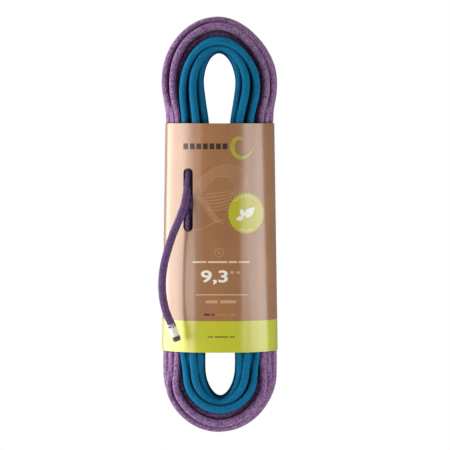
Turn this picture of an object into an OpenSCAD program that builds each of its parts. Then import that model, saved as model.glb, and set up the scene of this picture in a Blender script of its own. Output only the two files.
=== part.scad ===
// Two-colour climbing rope, wound into an upright oval coil and held by a card sleeve.
// Millimetres. +Z up, the front faces -Y. The origin is the inner top of the top loop,
// where a peg carries the coil.

/* [Rope] */
// rope diameter
rope_d = 9.3; // [8.9:0.1:9.8]
// thickness of the braided sheath
sheath_t = 0.9; // [0.6:0.1:1.2]

/* [Coil] */
// half width of the outer turns in the loops
loop_half_w = 68.7; // [66:0.1:68.7]
// half width of the eye in the loops
eye_half_w = 19.4; // [16:0.1:22]
// height of a loop's outer arch above its widest place
arch_h = 80; // [74:1:86]
// thickness of the bundle at the top of a loop
bundle_t = 43; // [40:0.5:46]
// distance between the widest places of the two loops
leg_h = 337; // [330:1:345]
// half depth of the top loop
loop_half_d = 64; // [60:0.5:64.5]

/* [Card sleeve] */
// top edge of the sleeve below the origin
sleeve_top = 85; // [80:1:90]
// height of the sleeve
sleeve_h = 271; // [260:1:278]
// half width and half depth at the sleeve's top
sleeve_top_w = 65.5; // [65.5:0.1:67]
sleeve_top_d = 66; // [66:0.1:67]
// half width and half depth at the sleeve's bottom
sleeve_low_w = 69.7; // [69.7:0.1:71]
sleeve_low_d = 62; // [62:0.1:63]
// thickness of the card
card_t = 0.4; // [0.3:0.05:0.5]
// width of the glued overlap at the back
lap_w = 22; // [16:1:30]

/* [Slot and seal] */
// slot width, height, centre and top edge
slot_w = 11.2; // [11:0.1:12]
slot_h = 75; // [70:1:82]
slot_x = -37.4; // [-38:0.1:-37]
slot_top = 138; // [136:0.1:140]
// seal diameter and centre
seal_d = 49; // [44:1:54]
seal_x = 30.5; // [29:0.5:33]
seal_z = -191; // [-200:0.5:-185]

/* [Rope ends] */
// lengths of the marker ring, label and fused tip
ring_l = 4.3; // [3:0.1:6]
label_l = 11; // [8:0.5:16]
tip_l = 6.2; // [4:0.1:8]
// wall of the clear shrink tube
shrink_t = 0.2; // [0.15:0.05:0.3]

/* [Hidden] */
r = rope_d / 2;
sup_n = 2.3;          // how square the oval section is, 2 being an ellipse
coil_gap = 0.7;       // coil to card
colour_f = 0.54;      // share of the bundle, from the eye outward, that is blue
air = 0.3;            // gap round a rope end where it leaves the coil
band_r = r + 0.1;     // inner radius of what is wrapped round an end
fit_l = ring_l + label_l + tip_l;
lean = 20;            // the tail's end leans this far from plumb
sleeve_low = sleeve_top + sleeve_h;
top_c = arch_h - bundle_t;    // widest place of the top loop, below the origin
low_c = top_c + leg_h;

// The tail's route: down inside the card, out through the slot, then in front of it.
root_route = [
    [-37.4, -49.5, -111.6], [-37.4, -49.5, -123.5], [-37.4, -49.5, -135.3], [-37.4, -49.8, -147.1],
    [-37.9, -51.8, -156.9], [-38.6, -55.5, -164.8], [-39.6, -60, -171.5], [-40.5, -62.6, -175.9]];
tail_pin = [-41.6, -65, -181.2];
tail_end = [-49.8, -66, -341.9];
tail_dir = [sin(lean), 0, -cos(lean)];
tail_route = [
    tail_pin, [-44.3, -66, -189.1], [-48, -66, -198.9], [-51.9, -66, -207.7], [-55.8, -66, -217.5],
    [-61.5, -66, -235.2], [-65.5, -66, -250.9], [-67.6, -66, -266.6], [-67.9, -66, -280.4],
    [-66.6, -66, -293.1], [-64, -66, -304.9], [-60.4, -66, -314.7]];
// The blue end's route: out of the inner turns, into the channel between the legs.
blue_route = [
    [27, 20, -128], [23.5, 20, -140], [18, 20, -152], [12, 20, -163],
    [6.5, 20, -175], [2.5, 20, -188], [0.5, 20, -200], [0, 20, -212]];
blue_end = [0, 20, -242];
blue_dir = [0, 0, -1];

// ---- curves ----
function mix(a, b, t) = a + (b - a) * t;
function unit(v) = v / norm(v);
function sgn_pow(v, e) = sign(v) * pow(abs(v), e);
// a rounded oval, a by b half axes
function oval(a, b, t) = [a * sgn_pow(cos(t), 2 / sup_n), b * sgn_pow(sin(t), 2 / sup_n)];
function oval_y(a, b, x) = b * pow(max(0, 1 - pow(abs(x) / a, sup_n)), 1 / sup_n);

// the sleeve's outer half axes at depth d below the origin
function sleeve_at(d) = let (t = (d - sleeve_top) / sleeve_h)
    [mix(sleeve_top_w, sleeve_low_w, t), mix(sleeve_top_d, sleeve_low_d, t)];

// ---- the coil's solid ----
// half width of the outer turns, of the eye, and half depth, at depth d on the legs
function coil_w(d) = lookup(d, [
    [top_c, loop_half_w], [61, loop_half_w - 1.6],
    [sleeve_top, sleeve_top_w - card_t - coil_gap],
    [sleeve_low, sleeve_low_w - card_t - coil_gap], [low_c, loop_half_w]]);
function eye_w(d) = lookup(d, [
    [top_c, eye_half_w], [61, 16.4], [sleeve_top, 12.7], [230, 12.4], [320, 17],
    [sleeve_low, 19], [low_c, eye_half_w]]);
function coil_d(d) = lookup(d, [
    [top_c, loop_half_d], [61, loop_half_d + 0.5],
    [sleeve_top, sleeve_top_d - card_t - coil_gap],
    [sleeve_low, sleeve_low_d - card_t - coil_gap],
    [low_c, sleeve_low_d - card_t - coil_gap - 0.2]]);

// f runs from 0 at the eye to 1 at the outside; s is -1 at the front and 1 at the back
function leg_point(side, d, f, s) = let (x = mix(eye_w(d), coil_w(d), f))
    [side * x, s * oval_y(coil_w(d) + 0.4, coil_d(d), x), -d];
function arch_point(up, t, f, s) = let (
    d = up ? top_c : low_c,
    a = mix(eye_w(d), coil_w(d), f),
    b = mix(top_c, arch_h, f),
    y = oval_y(coil_w(d) + 0.4, coil_d(d), a))
    [a * cos(t), s * y, (up ? b * sin(t) : -b * sin(t)) - d];

leg_steps = [50, 61, 73, 85, 110, 150, 190, 230, 275, 320, 345, 360];
arch_steps = [for (i = [0 : 16]) i * 180 / 16];
n_leg = len(leg_steps);
// one turn round the coil, clockwise from the right end of the top arch
function ring_points(f, s) = concat(
    [for (i = [16 : -1 : 0]) arch_point(true, arch_steps[i], f, s)],
    [for (d = leg_steps) leg_point(1, d, f, s)],
    [for (t = arch_steps) arch_point(false, t, f, s)],
    [for (i = [n_leg - 1 : -1 : 0]) leg_point(-1, leg_steps[i], f, s)]);

// a closed tube of sections, each a list of the same number of points
function ring_faces(n, m) = [for (i = [0 : n - 1], j = [0 : m - 1])
    each let (a = i * m + j, b = i * m + (j + 1) % m,
        c = ((i + 1) % n) * m + (j + 1) % m, d = ((i + 1) % n) * m + j)
        [[a, b, c], [a, c, d]]];

module turns(fs) {
    sections = concat([for (f = fs) ring_points(f, -1)],
        [for (i = [len(fs) - 1 : -1 : 0]) ring_points(fs[i], 1)]);
    m = len(sections);
    n = len(sections[0]);
    polyhedron([for (i = [0 : n - 1], j = [0 : m - 1]) sections[j][i]],
        ring_faces(n, m), convexity = 8);
}

// ---- rope pieces along a route ----
sides = 12;
function along(p, i) = unit(p[min(i + 1, len(p) - 1)] - p[max(i - 1, 0)]);
// a ring of points round p, square to direction t
function hoop(p, t, rad, lobe) = let (
    u = unit(cross(t, [0, 1, 0.03])), v = cross(t, u), m = lobe > 0 ? 20 : sides)
    [for (j = [0 : m - 1]) let (q = rad - (j % 2) * lobe, a = 360 * j / m)
        p + u * q * cos(a) + v * q * sin(a)];
function tube_faces(n, m) = concat(
    [[for (j = [0 : m - 1]) j]],
    [for (i = [0 : n - 2], j = [0 : m - 1])
        each let (a = i * m + j, b = i * m + (j + 1) % m, c = b + m, d = a + m)
            // a sheet's two sides share their diagonals, so layers lie flat on each other
            j % 4 == 1 ? [[a, d, b], [b, d, c]] : [[a, c, b], [a, d, c]]],
    [[for (j = [m - 1 : -1 : 0]) (n - 1) * m + j]]);
// domed: the first point is the middle of a round end
module rope(p, rad, lobe = 0, domed = false) {
    first = unit(p[1] - p[0]);
    dome = domed ? [for (a = [8, 35, 62]) hoop(p[0] - first * rad * cos(a), first,
        rad * sin(a), lobe * sin(a))] : [];
    rings = concat(dome, [for (i = [0 : len(p) - 1]) hoop(p[i], along(p, i), rad, lobe)]);
    polyhedron([for (h = rings) each h], tube_faces(len(rings), len(rings[0])),
        convexity = 6);
}
tail_full = concat(tail_route, [tail_end - tail_dir * fit_l, tail_end - tail_dir * tip_l]);
blue_full = concat(blue_route, [blue_end - blue_dir * fit_l, blue_end - blue_dir * tip_l]);

module sheath(p, domed = false) difference() {
    rope(p, r, 0, domed);
    rope(concat(domed ? [p[0]] : [p[0] * 2 - p[1]], [for (i = [1 : len(p) - 2]) p[i]],
        [p[len(p) - 1] * 2 - p[len(p) - 2]]), r - sheath_t, 0, domed);
}
core_r = (r - sheath_t) * cos(180 / sides) - 0.05;
module core(p, domed = false) rope(p, core_r, 0.35, domed);

// moves a part drawn along +Z so that it ends at e and points along d
module at_end(e, tilt) translate(e) rotate([0, tilt, 0]) children();
module band(from, to, r_in, r_out) rotate_extrude($fn = 48)
    translate([r_in, from]) square([r_out - r_in, to - from]);
module end_ring() band(-fit_l, -fit_l + ring_l, band_r, band_r + 0.15);
module end_label() band(-tip_l - label_l, -tip_l, band_r, band_r + 0.15);
module end_shrink() band(-fit_l, -0.6, band_r + 0.2, band_r + 0.2 + shrink_t);
module end_tip() rotate_extrude($fn = 48)
    polygon([[0, -tip_l], [r, -tip_l], [r, -1], [r - 1, 0], [0, 0]]);
tail_tilt = 180 - lean;

// ---- the coil ----
module purple_turns() color([0.55, 0.42, 0.64]) difference() {
    turns([colour_f, 0.66, 0.77, 0.86, 0.93, 0.975, 1]);
    rope(concat(root_route, [root_route[7] * 2 - root_route[6]]), r + air);
}
module blue_turns() color([0.05, 0.42, 0.6]) difference() {
    turns([0, 0.02, 0.08, 0.2, 0.38, colour_f]);
    rope(concat(root_route, [root_route[7] * 2 - root_route[6]]), r + air);
    rope(blue_route, r + air);
}
module root_sheath() color([0.4, 0.28, 0.52]) sheath(root_route);
module root_core() color([0.9, 0.88, 0.84]) core(root_route);

// ---- the free tail ----
module tail_sheath() color([0.4, 0.28, 0.52]) sheath(tail_full, true);
module tail_core() color([0.9, 0.88, 0.84]) core(tail_full, true);
module tail_ring() color([0.12, 0.12, 0.14]) at_end(tail_end, tail_tilt) end_ring();
module tail_label() color([0.93, 0.93, 0.92]) at_end(tail_end, tail_tilt) end_label();
module tail_shrink() color([0.9, 0.95, 1, 0.3]) at_end(tail_end, tail_tilt) end_shrink();
module tail_tip() color([0.07, 0.06, 0.09]) at_end(tail_end, tail_tilt) end_tip();

// ---- the blue end ----
module blue_end_sheath() color([0.05, 0.35, 0.52]) sheath(blue_full);
module blue_end_core() color([0.9, 0.88, 0.84]) core(blue_full);
module blue_end_ring() color([0.12, 0.12, 0.14]) at_end(blue_end, 180) end_ring();
module blue_end_label() color([0.93, 0.93, 0.92]) at_end(blue_end, 180) end_label();
module blue_end_shrink() color([0.9, 0.95, 1, 0.3]) at_end(blue_end, 180) end_shrink();
module blue_end_tip() color([0.07, 0.06, 0.09]) at_end(blue_end, 180) end_tip();

// ---- the card sleeve ----
// one section per angle in ts: the sheet between offsets in and out, moved out by os
function skin(in, out, ts, os) = let (hi = sleeve_at(sleeve_top), lo = sleeve_at(sleeve_low))
    [for (i = [0 : len(ts) - 1]) each [for (c = [[hi, out, sleeve_top], [hi, in, sleeve_top],
        [lo, in, sleeve_low], [lo, out, sleeve_low]])
        let (q = oval(c[0][0] + c[1] + os[i], c[0][1] + c[1] + os[i], ts[i]))
            [q[0], q[1], -c[2]]]];
module sheet(in, out, ts, os) polyhedron(skin(in, out, ts, os), tube_faces(len(ts), 4),
    convexity = 6);
// the angle at the back at distance x from the middle
function back_at(x) = acos(sgn_pow(x / sleeve_low_w, sup_n / 2));
lap_n = 6;
lap = [for (i = [0 : lap_n]) mix(back_at(-lap_w / 2), back_at(lap_w / 2), i / lap_n)];
// the card starts under the lap, goes once round and ends over its own start
round_n = 76;
once_round = [for (i = [1 : round_n - 1]) mix(lap[lap_n], lap[0] - 360, i / round_n)];
card_angles = concat(lap, once_round, [for (t = lap) t - 360]);
function lift(i) = card_t * 1.25 * max(0, min(1, (i - lap_n - round_n + 4) / 4));
card_lifts = [for (i = [0 : len(card_angles) - 1]) lift(i)];
module slot_cut() translate([slot_x, 0, 0]) rotate([90, 0, 0]) {
    translate([0, -slot_top - slot_w / 2, 30]) cylinder(h = 50, d = slot_w, $fn = 48);
    translate([0, slot_w / 2 - slot_top - slot_h, 30])
        cylinder(h = 50, d = slot_w, $fn = 48);
    translate([-slot_w / 2, slot_w / 2 - slot_top - slot_h, 30])
        cube([slot_w, slot_h - slot_w, 50]);
}
module card_sleeve() color([0.7, 0.52, 0.37]) difference() {
    sheet(-card_t, 0, card_angles, card_lifts);
    slot_cut();
}
module seam_glue() color([0.92, 0.88, 0.75]) sheet(0, card_t / 4,
    [for (i = [1 : lap_n - 1]) lap[i]], [for (i = [1 : lap_n - 1]) 0]);

module seal_sticker() color([0.75, 0.82, 0.2]) intersection() {
    let (ts = [for (t = once_round) if (t < -5 && t > -115) t])
        sheet(0, 0.2, ts, [for (t = ts) 0]);
    translate([seal_x, -30, seal_z]) rotate([90, 0, 0]) linear_extrude(60)
        polygon([for (i = [0 : 71]) let (q = seal_d / 2 - (i % 2) * 1)
            [q * cos(5 * i) * 0.9, q * sin(5 * i)]]);
}

purple_turns();
blue_turns();
root_sheath();
root_core();
tail_sheath();
tail_core();
tail_ring();
tail_label();
tail_shrink();
tail_tip();
blue_end_sheath();
blue_end_core();
blue_end_ring();
blue_end_label();
blue_end_shrink();
blue_end_tip();
card_sleeve();
seam_glue();
seal_sticker();
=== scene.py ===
"""Two-colour climbing rope, coiled and held by a card sleeve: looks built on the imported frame."""
import math
from contextlib import contextmanager

import bmesh
import bpy
import numpy as np
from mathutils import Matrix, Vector


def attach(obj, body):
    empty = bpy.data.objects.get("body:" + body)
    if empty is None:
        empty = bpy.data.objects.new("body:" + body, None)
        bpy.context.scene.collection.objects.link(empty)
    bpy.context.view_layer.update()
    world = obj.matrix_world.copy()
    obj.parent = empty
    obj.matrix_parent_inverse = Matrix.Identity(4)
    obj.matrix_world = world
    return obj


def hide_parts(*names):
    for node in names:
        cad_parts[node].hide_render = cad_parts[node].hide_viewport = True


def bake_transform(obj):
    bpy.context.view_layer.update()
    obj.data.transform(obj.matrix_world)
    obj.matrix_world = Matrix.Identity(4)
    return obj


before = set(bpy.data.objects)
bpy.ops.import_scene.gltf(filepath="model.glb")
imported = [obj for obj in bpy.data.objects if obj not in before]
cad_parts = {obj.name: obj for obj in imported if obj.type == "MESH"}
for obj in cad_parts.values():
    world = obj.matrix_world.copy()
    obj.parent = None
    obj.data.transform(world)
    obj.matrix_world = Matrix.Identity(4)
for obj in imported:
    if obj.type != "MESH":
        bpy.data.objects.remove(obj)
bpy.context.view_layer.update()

MM = 0.001
scene = bpy.context.scene
rng = np.random.default_rng(93)

# ------------------------------------------------------------------ camera
CAM_FAR = 3.6                        # metres from the coil's middle plane
FRAME_W = 0.54                       # width that the frame shows there
AIM_Z = -0.207                       # height that the camera looks at
cam_data = bpy.data.cameras.new("camera")
cam_data.sensor_width = 36.0
cam_data.lens = 36.0 * CAM_FAR / FRAME_W
cam = bpy.data.objects.new("camera", cam_data)
scene.collection.objects.link(cam)
scene.camera = cam
CAM_X, CAM_Z = 6.2, -85.0            # millimetres
cam.location = (CAM_X * MM, -CAM_FAR, CAM_Z * MM)
CAM_DROP = math.atan2(CAM_Z * MM - AIM_Z, CAM_FAR)
cam.rotation_euler = (math.pi / 2 - CAM_DROP, 0, 0)

# ------------------------------------------------------------------ mesh helpers


def add_object(name, verts, faces, smooth=True):
    """A mesh object from points in millimetres and faces as tuples."""
    mesh = bpy.data.meshes.new(name)
    mesh.from_pydata([tuple(float(c) * MM for c in v) for v in verts], [], faces)
    mesh.update()
    ob = bpy.data.objects.new(name, mesh)
    scene.collection.objects.link(ob)
    if smooth:
        mesh.polygons.foreach_set("use_smooth", [True] * len(mesh.polygons))
    return ob


@contextmanager
def editing(ob):
    """Opens a piece's mesh for editing and writes it back."""
    bm = bmesh.new()
    bm.from_mesh(ob.data)
    yield bm
    bm.to_mesh(ob.data)
    bm.free()


def face_outward(ob, weld=False):
    """Turns all faces outward, with points that coincide joined first where weld is set."""
    with editing(ob) as bm:
        if weld:
            bmesh.ops.remove_doubles(bm, verts=bm.verts, dist=1e-6)
        bmesh.ops.recalc_face_normals(bm, faces=bm.faces)


def frames_along(path):
    """Tangent and two normals at each point, turning as little as possible."""
    tan = np.gradient(path, axis=0)
    tan /= np.linalg.norm(tan, axis=1)[:, None]
    up = np.zeros_like(path)
    start = np.array([0.0, 1.0, 0.0])
    start -= tan[0] * start.dot(tan[0])
    up[0] = start / np.linalg.norm(start)
    for i in range(1, len(path)):
        v = up[i - 1] - tan[i] * up[i - 1].dot(tan[i])
        up[i] = v / np.linalg.norm(v)
    return tan, up, np.cross(tan, up)


def arc_length(path):
    return np.concatenate([[0.0], np.cumsum(np.linalg.norm(np.diff(path, axis=0), axis=1))])


def tube(name, path, radius, sides, relief=None):
    """A closed tube along path; its UV map "lay" has length in metres and share of a turn."""
    tan, up, side = frames_along(path)
    length = arc_length(path)
    n = len(path)
    share = np.arange(sides) / sides
    ang = share * 2 * math.pi
    rad = np.full((n, sides), radius)
    if relief is not None:
        rad = rad + relief(length[:, None] * MM, share[None, :])
    pts = (path[:, None, :]
           + rad[:, :, None] * (np.cos(ang)[None, :, None] * up[:, None, :]
                                + np.sin(ang)[None, :, None] * side[:, None, :]))
    verts = pts.reshape(-1, 3)
    i = np.arange(n - 1)[:, None] * sides
    j = np.arange(sides)[None, :]
    k = (j + 1) % sides
    quads = np.stack([i + j, i + sides + j, i + sides + k, i + k], axis=-1).reshape(-1, 4)
    mesh = bpy.data.meshes.new(name)
    caps = 2
    n_faces = len(quads) + caps
    loops = np.concatenate([quads.ravel(), np.arange(sides),
                            (n - 1) * sides + np.arange(sides)[::-1]])
    mesh.vertices.add(len(verts))
    mesh.vertices.foreach_set("co", (verts * MM).ravel())
    mesh.loops.add(len(loops))
    mesh.loops.foreach_set("vertex_index", loops.astype(np.int32))
    mesh.polygons.add(n_faces)
    starts = np.concatenate([np.arange(len(quads)) * 4,
                             len(quads) * 4 + np.array([0, sides])])
    mesh.polygons.foreach_set("loop_start", starts.astype(np.int32))
    mesh.update(calc_edges=True)
    mesh.validate()
    mesh.polygons.foreach_set("use_smooth", [True] * len(mesh.polygons))
    uv = mesh.uv_layers.new(name="lay")
    u_row = np.repeat(length[:-1] * MM, sides)
    u_next = np.repeat(length[1:] * MM, sides)
    v0 = np.tile(share, n - 1)
    v1 = v0 + 1.0 / sides
    quad_uv = np.stack([np.stack([u_row, v0], -1), np.stack([u_next, v0], -1),
                        np.stack([u_next, v1], -1), np.stack([u_row, v1], -1)], axis=1)
    cap_uv = np.concatenate([np.stack([np.zeros(sides), share], -1),
                             np.stack([np.full(sides, length[-1] * MM), share], -1)])
    all_uv = np.concatenate([quad_uv.reshape(-1, 2), cap_uv])
    uv.data.foreach_set("uv", all_uv.ravel())
    ob = bpy.data.objects.new(name, mesh)
    scene.collection.objects.link(ob)
    return ob


def through(points, step):
    """A smooth path through points, with a point about every step."""
    p = np.array(points, float)
    p = np.vstack([2 * p[0] - p[1], p, 2 * p[-1] - p[-2]])
    out = []
    for i in range(1, len(p) - 2):
        a, b, c, d = p[i - 1:i + 3]
        n = max(2, int(np.linalg.norm(c - b) / step))
        for t in np.arange(n) / n:
            out.append(0.5 * (2 * b + (c - a) * t + (2 * a - 5 * b + 4 * c - d) * t * t
                              + (3 * b - a - 3 * c + d) * t ** 3))
    out.append(p[-2])
    return np.array(out)


def ease(x):
    x = np.clip(x, 0.0, 1.0)
    return x * x * (3 - 2 * x)


# ------------------------------------------------------------------ the coil's lay
# Millimetres. A depth d is measured down from the mount, so a point's height is -d.
R = 4.65                             # the rope's radius
TOP, LOW = 37.0, 374.0               # depths of the widest places of the two loops
CARD_TOP, CARD_LOW = 85.0, 356.0
CARD_H = CARD_LOW - CARD_TOP
CARD_T = 0.4
CARD_W, CARD_D = 65.5, 66.0          # half width and half depth of the card's oval at its top
WIDER, THINNER = 4.2, 4.0            # how much they change down to its bottom
SUP = 2.3                            # how square the oval is, 2 being an ellipse
Q_OUT = 4                            # columns run from 0, inmost, to this, outmost
RISE_IN, RISE_OUT = TOP + R, TOP + 43.0 - R
# rows in each column, and how far in front of and behind the middle they reach
ROWS = {0: (15, 57.0), 1: (14, 58.0), 2: (13, 53.0), 3: (11, 45.0), 4: (8, 32.0)}


def half_out(d):
    """Half width of the coil's outline."""
    return np.interp(d, [37, 61, 74, 85, 360, 374], [69.2, 68.8, 67.2, 65.4, 69.8, 70.0])


def half_in(d):
    """Half width of the gap between its legs."""
    return np.interp(d, [37, 61, 85, 230, 320, 360, 374],
                     [19.45, 16.4, 12.7, 12.4, 17.0, 19.0, 19.45])


def column_x(q, d):
    """Distance of column q from the coil's middle; q need not be whole."""
    a, b = half_in(d), half_out(d)
    return a + R + q / Q_OUT * (b - a - 2 * R)


def shift_x(d):
    """The coil leans a little."""
    return np.interp(d, [0, 85, 360, 420], [-0.7, 0.0, 0.2, 0.4])


def row_y(c, row):
    """Front to back place of a row of column c."""
    n, h = ROWS[c]
    return -h + 2 * h * row / (n - 1)


# Places round a loop: -0.5 left at the card, 0 left widest, 0.5 apex, 1 right, 1.5 right at card.
PLACES = [-0.5, 0.0, 0.25, 0.5, 0.75, 1.0, 1.5]
# Column number and depth of the strands in front, at those places.
FRONT_Q = {
    (4, 0): [4.0, 4.0, 4.0, 3.86, 3.4, 3.76, 4.0],
    (3, 0): [3.42, 3.04, 3.1, 3.0, 2.95, 3.1, 3.25],
    (2, 1): [1.9, 2.45, 2.3, 1.9, 2.25, 2.5, 2.5],
    (2, 0): [2.62, 1.78, 1.3, 0.86, 1.36, 1.9, 1.74],
    (1, 0): [1.02, 0.74, 0.36, 0.04, 0.42, 0.78, 0.5],
    (0, 0): [0.02, 0.0, 0.0, 0.0, 0.0, 0.0, -0.1],
}
# The bottom loop's, where they differ.
LOW_Q = {
    (3, 0): [3.42, 3.22, 3.2, 3.08, 3.08, 3.3, 3.32],
    (2, 1): [1.9, 2.6, 2.45, 2.0, 2.35, 2.7, 2.55],
    (2, 0): [4.1, 2.12, 1.5, 1.0, 1.52, 2.2, 4.2],
    (1, 0): [2.0, 0.98, 0.48, 0.12, 0.48, 0.98, 2.1],
}
FRONT_Y = {
    (4, 0): [-33, -33, -33, -32, -31, -33, -33],
    (3, 0): [-45, -45, -45, -45, -45, -45, -45],
    (2, 1): [-36, -38, -38, -38, -38, -38, -38],
    (2, 0): [-53, -53, -54, -56, -54, -53, -53],
    (1, 0): [-57, -57, -54, -51, -54, -57, -57],
    (0, 0): [-50, -49, -47, -46, -47, -49, -50],
}


def spread(table, tau):
    """Smooth values of a front strand's table at places tau."""
    x = np.clip(tau, PLACES[0], PLACES[-1])
    i = np.clip(np.searchsorted(PLACES, x) - 1, 0, len(PLACES) - 2)
    p = np.array(PLACES)
    v = np.array(table, float)
    m = np.gradient(v, p)
    h = p[i + 1] - p[i]
    t = (x - p[i]) / h
    return ((2 * t ** 3 - 3 * t ** 2 + 1) * v[i] + (t ** 3 - 2 * t ** 2 + t) * h * m[i]
            + (3 * t ** 2 - 2 * t ** 3) * v[i + 1] + (t ** 3 - t ** 2) * h * m[i + 1])


CLEAR_X, CLEAR_Y = 0.75, 0.95        # room left between strands and card
STAGGER = {0: 0.14, 1: 0.24, 2: 0.24, 3: 0.2, 4: -0.16}


def column_of(slot):
    """A strand lies a little to one side of its column, every other one the other way."""
    c, row = slot
    side = 1 if row % 2 else (-1 if 0 < c < 4 else 0)
    return c + STAGGER[c] * side


def lay(slot, tau, bottom=False):
    """Column number and depth of a slot's strand at places tau of a loop."""
    if slot in FRONT_Q:
        table = LOW_Q.get(slot, FRONT_Q[slot]) if bottom else FRONT_Q[slot]
        return spread(table, tau), spread(FRONT_Y[slot], tau)
    c, row = slot
    q, y = np.full_like(tau, column_of(slot)), np.full_like(tau, row_y(c, row))
    if c == 0:
        y = y * (1 - 0.14 * ease(1 - np.abs(tau - 0.5) * 2))
    if row in (1, 2):
        y = y + (4.2 if row == 1 else 2.0)     # the front strands stand proud of the rest
    return q, y


def hug(x, y, d):
    """Keeps strands inside the card. This presses neighbours into each other."""
    w = ease((d - 46) / 32) * ease((410 - d) / 36)
    t = np.clip((d - CARD_TOP) / CARD_H, 0, 1)
    a = CARD_W + WIDER * t - CARD_T - R - CLEAR_X
    b = CARD_D - THINNER * t - CARD_T - R - CLEAR_Y
    f = (np.abs(x) / a) ** SUP + (np.abs(y) / b) ** SUP
    k = np.where(f > 1, np.maximum(f, 1e-9) ** (-1 / SUP), 1.0)
    k = 1 + (k - 1) * w
    return x * k, y * k


def leg(slot, low_slot, side, d, low=None):
    """Points down a leg at depths d, from slot in the top loop to low_slot in the bottom loop."""
    place = (lambda t: t) if side < 0 else (lambda t: 1 - t)
    q_t, y_t = lay(slot, place(-np.clip(d - TOP, 0, 48) / 96))
    q_b, y_b = lay(low or low_slot, place(-np.clip(LOW - d, 0, 14) / 96), True)
    q_0, y_0 = column_of(slot), row_y(*slot)
    q_1, y_1 = column_of(low_slot), row_y(*low_slot)
    near_t, near_b = ease((d - 85) / 65), ease((360 - d) / 60)
    hop = ease((d - 120) / 200)
    q_m, y_m = q_0 + (q_1 - q_0) * hop, y_0 + (y_1 - y_0) * hop
    q = np.where(d < 230, q_t + (q_m - q_t) * near_t, q_b + (q_m - q_b) * near_b)
    y = np.where(d < 230, y_t + (y_m - y_t) * near_t, y_b + (y_m - y_b) * near_b)
    if side < 0:
        # behind the slot strands move aside, as they show there
        open_slot = ease((d - 100) / 30) * ease((260 - d) / 30)
        if slot == (2, 0):
            q = q + (2.78 - q) * open_slot
        if slot[0] == 1 and slot[1] < 4:
            q = q + (0.62 - q) * open_slot
        if slot == (2, 3):
            q, y = q + (1.42 - q) * open_slot, y + (-43.0 - y) * open_slot
        if slot == (2, 2):
            seen = ease((d - 168) / 18) * ease((290 - d) / 50)
            q, y = q + (1.98 - q) * seen, y + (-50.5 - y) * seen
    x = side * column_x(q, d)
    x, y = hug(x, y, d)
    return np.stack([x + shift_x(d), y, -d], axis=1)


def arch(slot, top, n=44):
    """Points over a loop from left to right."""
    tau = np.linspace(0, 1, n)
    q, y = lay(slot, tau, not top)
    ang = math.pi * (1 - tau)
    d0 = TOP if top else LOW
    a = column_x(q, d0)
    b = RISE_IN + q / Q_OUT * (RISE_OUT - RISE_IN)
    z = -d0 + (b if top else -b) * np.sin(ang)
    x = a * np.cos(ang)
    if not top:
        # the bottom loop's back hangs a little lower than its front
        z = z - 5.2 * (1 - 0.4 * q / Q_OUT) * np.clip((y + 40) / 90, 0, 1) * np.sin(ang)
    if top:
        # the outer strands sag inward over the right shoulder
        sag = 3.2 * np.sin(math.pi * np.clip((tau - 0.5) / 0.46, 0, 1)) ** 1.5 * q / Q_OUT
        x, z = x - sag * np.cos(ang), z - sag * np.sin(ang)
    x, y = hug(x, y, -z)
    return np.stack([x + shift_x(-z), y, z], axis=1)


SEEN_STEP, HIDDEN_STEP, MID = 5.0, 12.5, 235.0
top_leg = np.concatenate([np.arange(TOP + SEEN_STEP, 97, SEEN_STEP),
                          np.arange(100, MID - 1, HIDDEN_STEP)])
low_leg = np.concatenate([np.arange(MID, 345, HIDDEN_STEP), np.arange(347, LOW - 1, SEEN_STEP)])


def turn(slot, nxt, low=None, start=None, end=None):
    """One turn: up the left leg, over the top loop, down the right leg to slot nxt, round the
    bottom loop and up the left leg to its middle."""
    up = top_leg[::-1]
    if start is not None:
        up = up[up < start]
    parts = [leg(slot, slot, -1, up), arch(slot, True)]
    if end is not None:
        down = top_leg[top_leg < end]
        parts.append(leg(slot, slot, 1, down))
        return np.vstack(parts)
    down = np.concatenate([top_leg, low_leg])
    parts += [leg(slot, nxt, 1, down, low), arch(low or nxt, False)[::-1],
              leg(nxt, nxt, -1, low_leg[::-1], low)]
    return np.vstack(parts)


def relax(path, rounds):
    """Rounds a path's corners."""
    for _ in range(rounds):
        path[1:-1] = 0.25 * path[:-2] + 0.5 * path[1:-1] + 0.25 * path[2:]
    return path


def waver(path, amount, long_wave=0.17):
    """A slow seeded unevenness, as hand-wound turns have."""
    s = arc_length(path) * MM
    for axis in range(3):
        phase = rng.uniform(0, 2 * math.pi, 3)
        for k, f in enumerate([1.0, 1.7, 2.9]):
            path[:, axis] += (amount * (0.7, 1.0, 0.5)[axis] / (1 + k)
                              * np.sin(2 * math.pi * f * s / long_wave + phase[k]))
    return path


purple_slots = ([(2, r) for r in range(1, 10)] + [(3, r) for r in (8, 9, 10)]
                + [(4, r) for r in range(7, -1, -1)] + [(3, r) for r in range(0, 8)])
blue_slots = ([(2, r) for r in (10, 11, 12)] + [(1, r) for r in range(13, -1, -1)] + [(2, 0)]
              + [(0, r) for r in range(0, 9)] + [(0, r) for r in range(10, 15)] + [(0, 9)])
slots = purple_slots + blue_slots

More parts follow.
